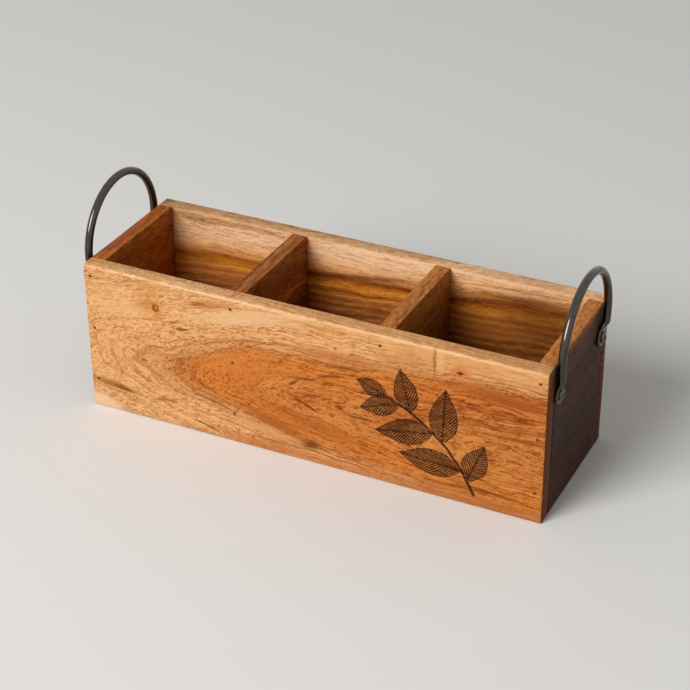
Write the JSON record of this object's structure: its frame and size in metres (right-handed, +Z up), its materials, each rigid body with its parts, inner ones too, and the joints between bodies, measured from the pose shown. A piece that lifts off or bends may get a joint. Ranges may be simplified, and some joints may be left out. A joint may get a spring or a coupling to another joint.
{
  "type": "utensil caddy",
  "caption": "Open wooden table caddy: a long box split by cross dividers into equal upright compartments, with a bent round-bar loop handle screwed to each end.",
  "frame": {"origin": "middle of the base, on the surface that the box stands on", "axes": "+X along the box, +Y from the front board to the back board, +Z up"},
  "size_m": [0.3104, 0.1, 0.139],
  "materials": {
    "front_wood": "oiled, honey coloured flat-sawn hardwood with a burned line drawing",
    "back_wood": "oiled hardwood, pale sapwood over banded brown heartwood",
    "left_end_wood": "oiled red-brown hardwood",
    "right_end_wood": "oiled orange-brown hardwood",
    "left_divider_wood": "oiled dark red-brown hardwood",
    "right_divider_wood": "oiled tan hardwood",
    "floor_wood": "sanded hardwood panel",
    "handle_metal": "bright nickel plate on steel bar",
    "screw_metal": "nickel-plated steel",
    "brad_steel": "dull steel, tarnished"
  },
  "bodies": {
    "root": {"front_board": "front_wood", "back_board": "back_wood", "left_end_board": "left_end_wood", "right_end_board": "right_end_wood", "bottom_board": "floor_wood", "left_divider": "left_divider_wood", "right_divider": "right_divider_wood", "left_handle": "handle_metal", "right_handle": "handle_metal", "left_handle_front_screw": "screw_metal", "left_handle_back_screw": "screw_metal", "right_handle_front_screw": "screw_metal", "right_handle_back_screw": "screw_metal", "left_end_front_brads": "brad_steel", "left_end_back_brads": "brad_steel", "right_end_front_brads": "brad_steel", "right_end_back_brads": "brad_steel", "left_divider_front_brads": "brad_steel", "left_divider_back_brads": "brad_steel", "right_divider_front_brads": "brad_steel", "right_divider_back_brads": "brad_steel"}
  },
  "joints": []
}
